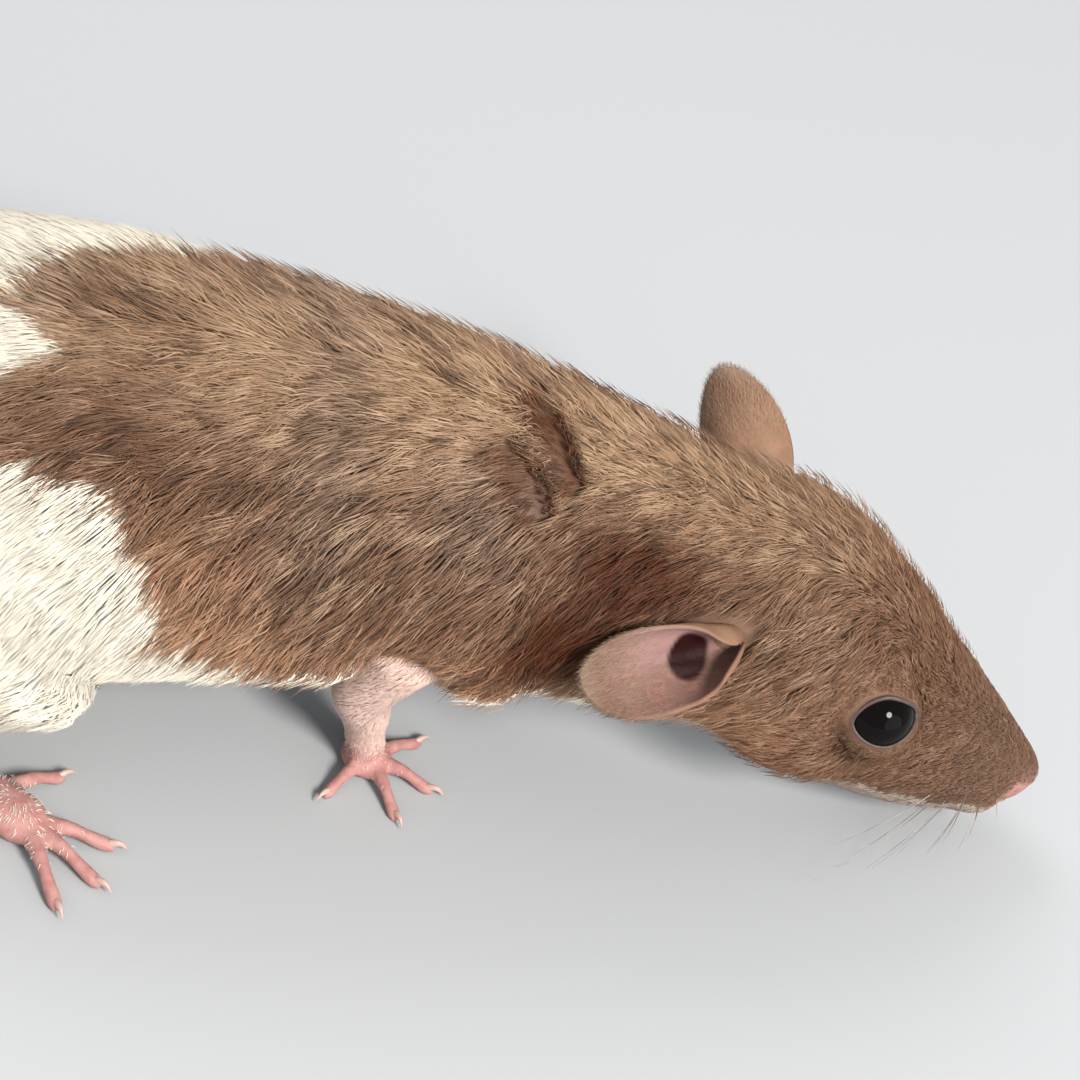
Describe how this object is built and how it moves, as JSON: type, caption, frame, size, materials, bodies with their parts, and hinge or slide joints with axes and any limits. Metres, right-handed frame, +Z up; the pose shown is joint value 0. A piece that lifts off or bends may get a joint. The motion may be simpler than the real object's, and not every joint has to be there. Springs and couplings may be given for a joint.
{
  "type": "dwarf rat model",
  "caption": "Still life-size model of a young dwarf rat standing on all fours with its tail laid along the ground.",
  "frame": {"origin": "on the ground under the middle of the bounding box", "axes": "+X towards the nose, +Y towards the rat's left side, +Z up"},
  "size_m": [0.2312, 0.0666, 0.0443],
  "materials": {
    "fur": "short ticked brown coat",
    "white_fur": "short white coat",
    "bare_skin": "thin pink skin, matt",
    "eye": "glossy black"
  },
  "bodies": {
    "root": {"head": "fur", "neck": "fur", "torso_front": "fur", "torso_rear": "fur", "foreleg_right": "white_fur", "foreleg_left": "white_fur", "hindleg_right": "white_fur", "hindleg_left": "white_fur", "ear_right": "bare_skin", "ear_left": "bare_skin", "eye_right": "eye", "eye_left": "eye", "tail_1": "bare_skin", "tail_2": "bare_skin", "tail_3": "bare_skin", "tail_4": "bare_skin"}
  },
  "joints": []
}
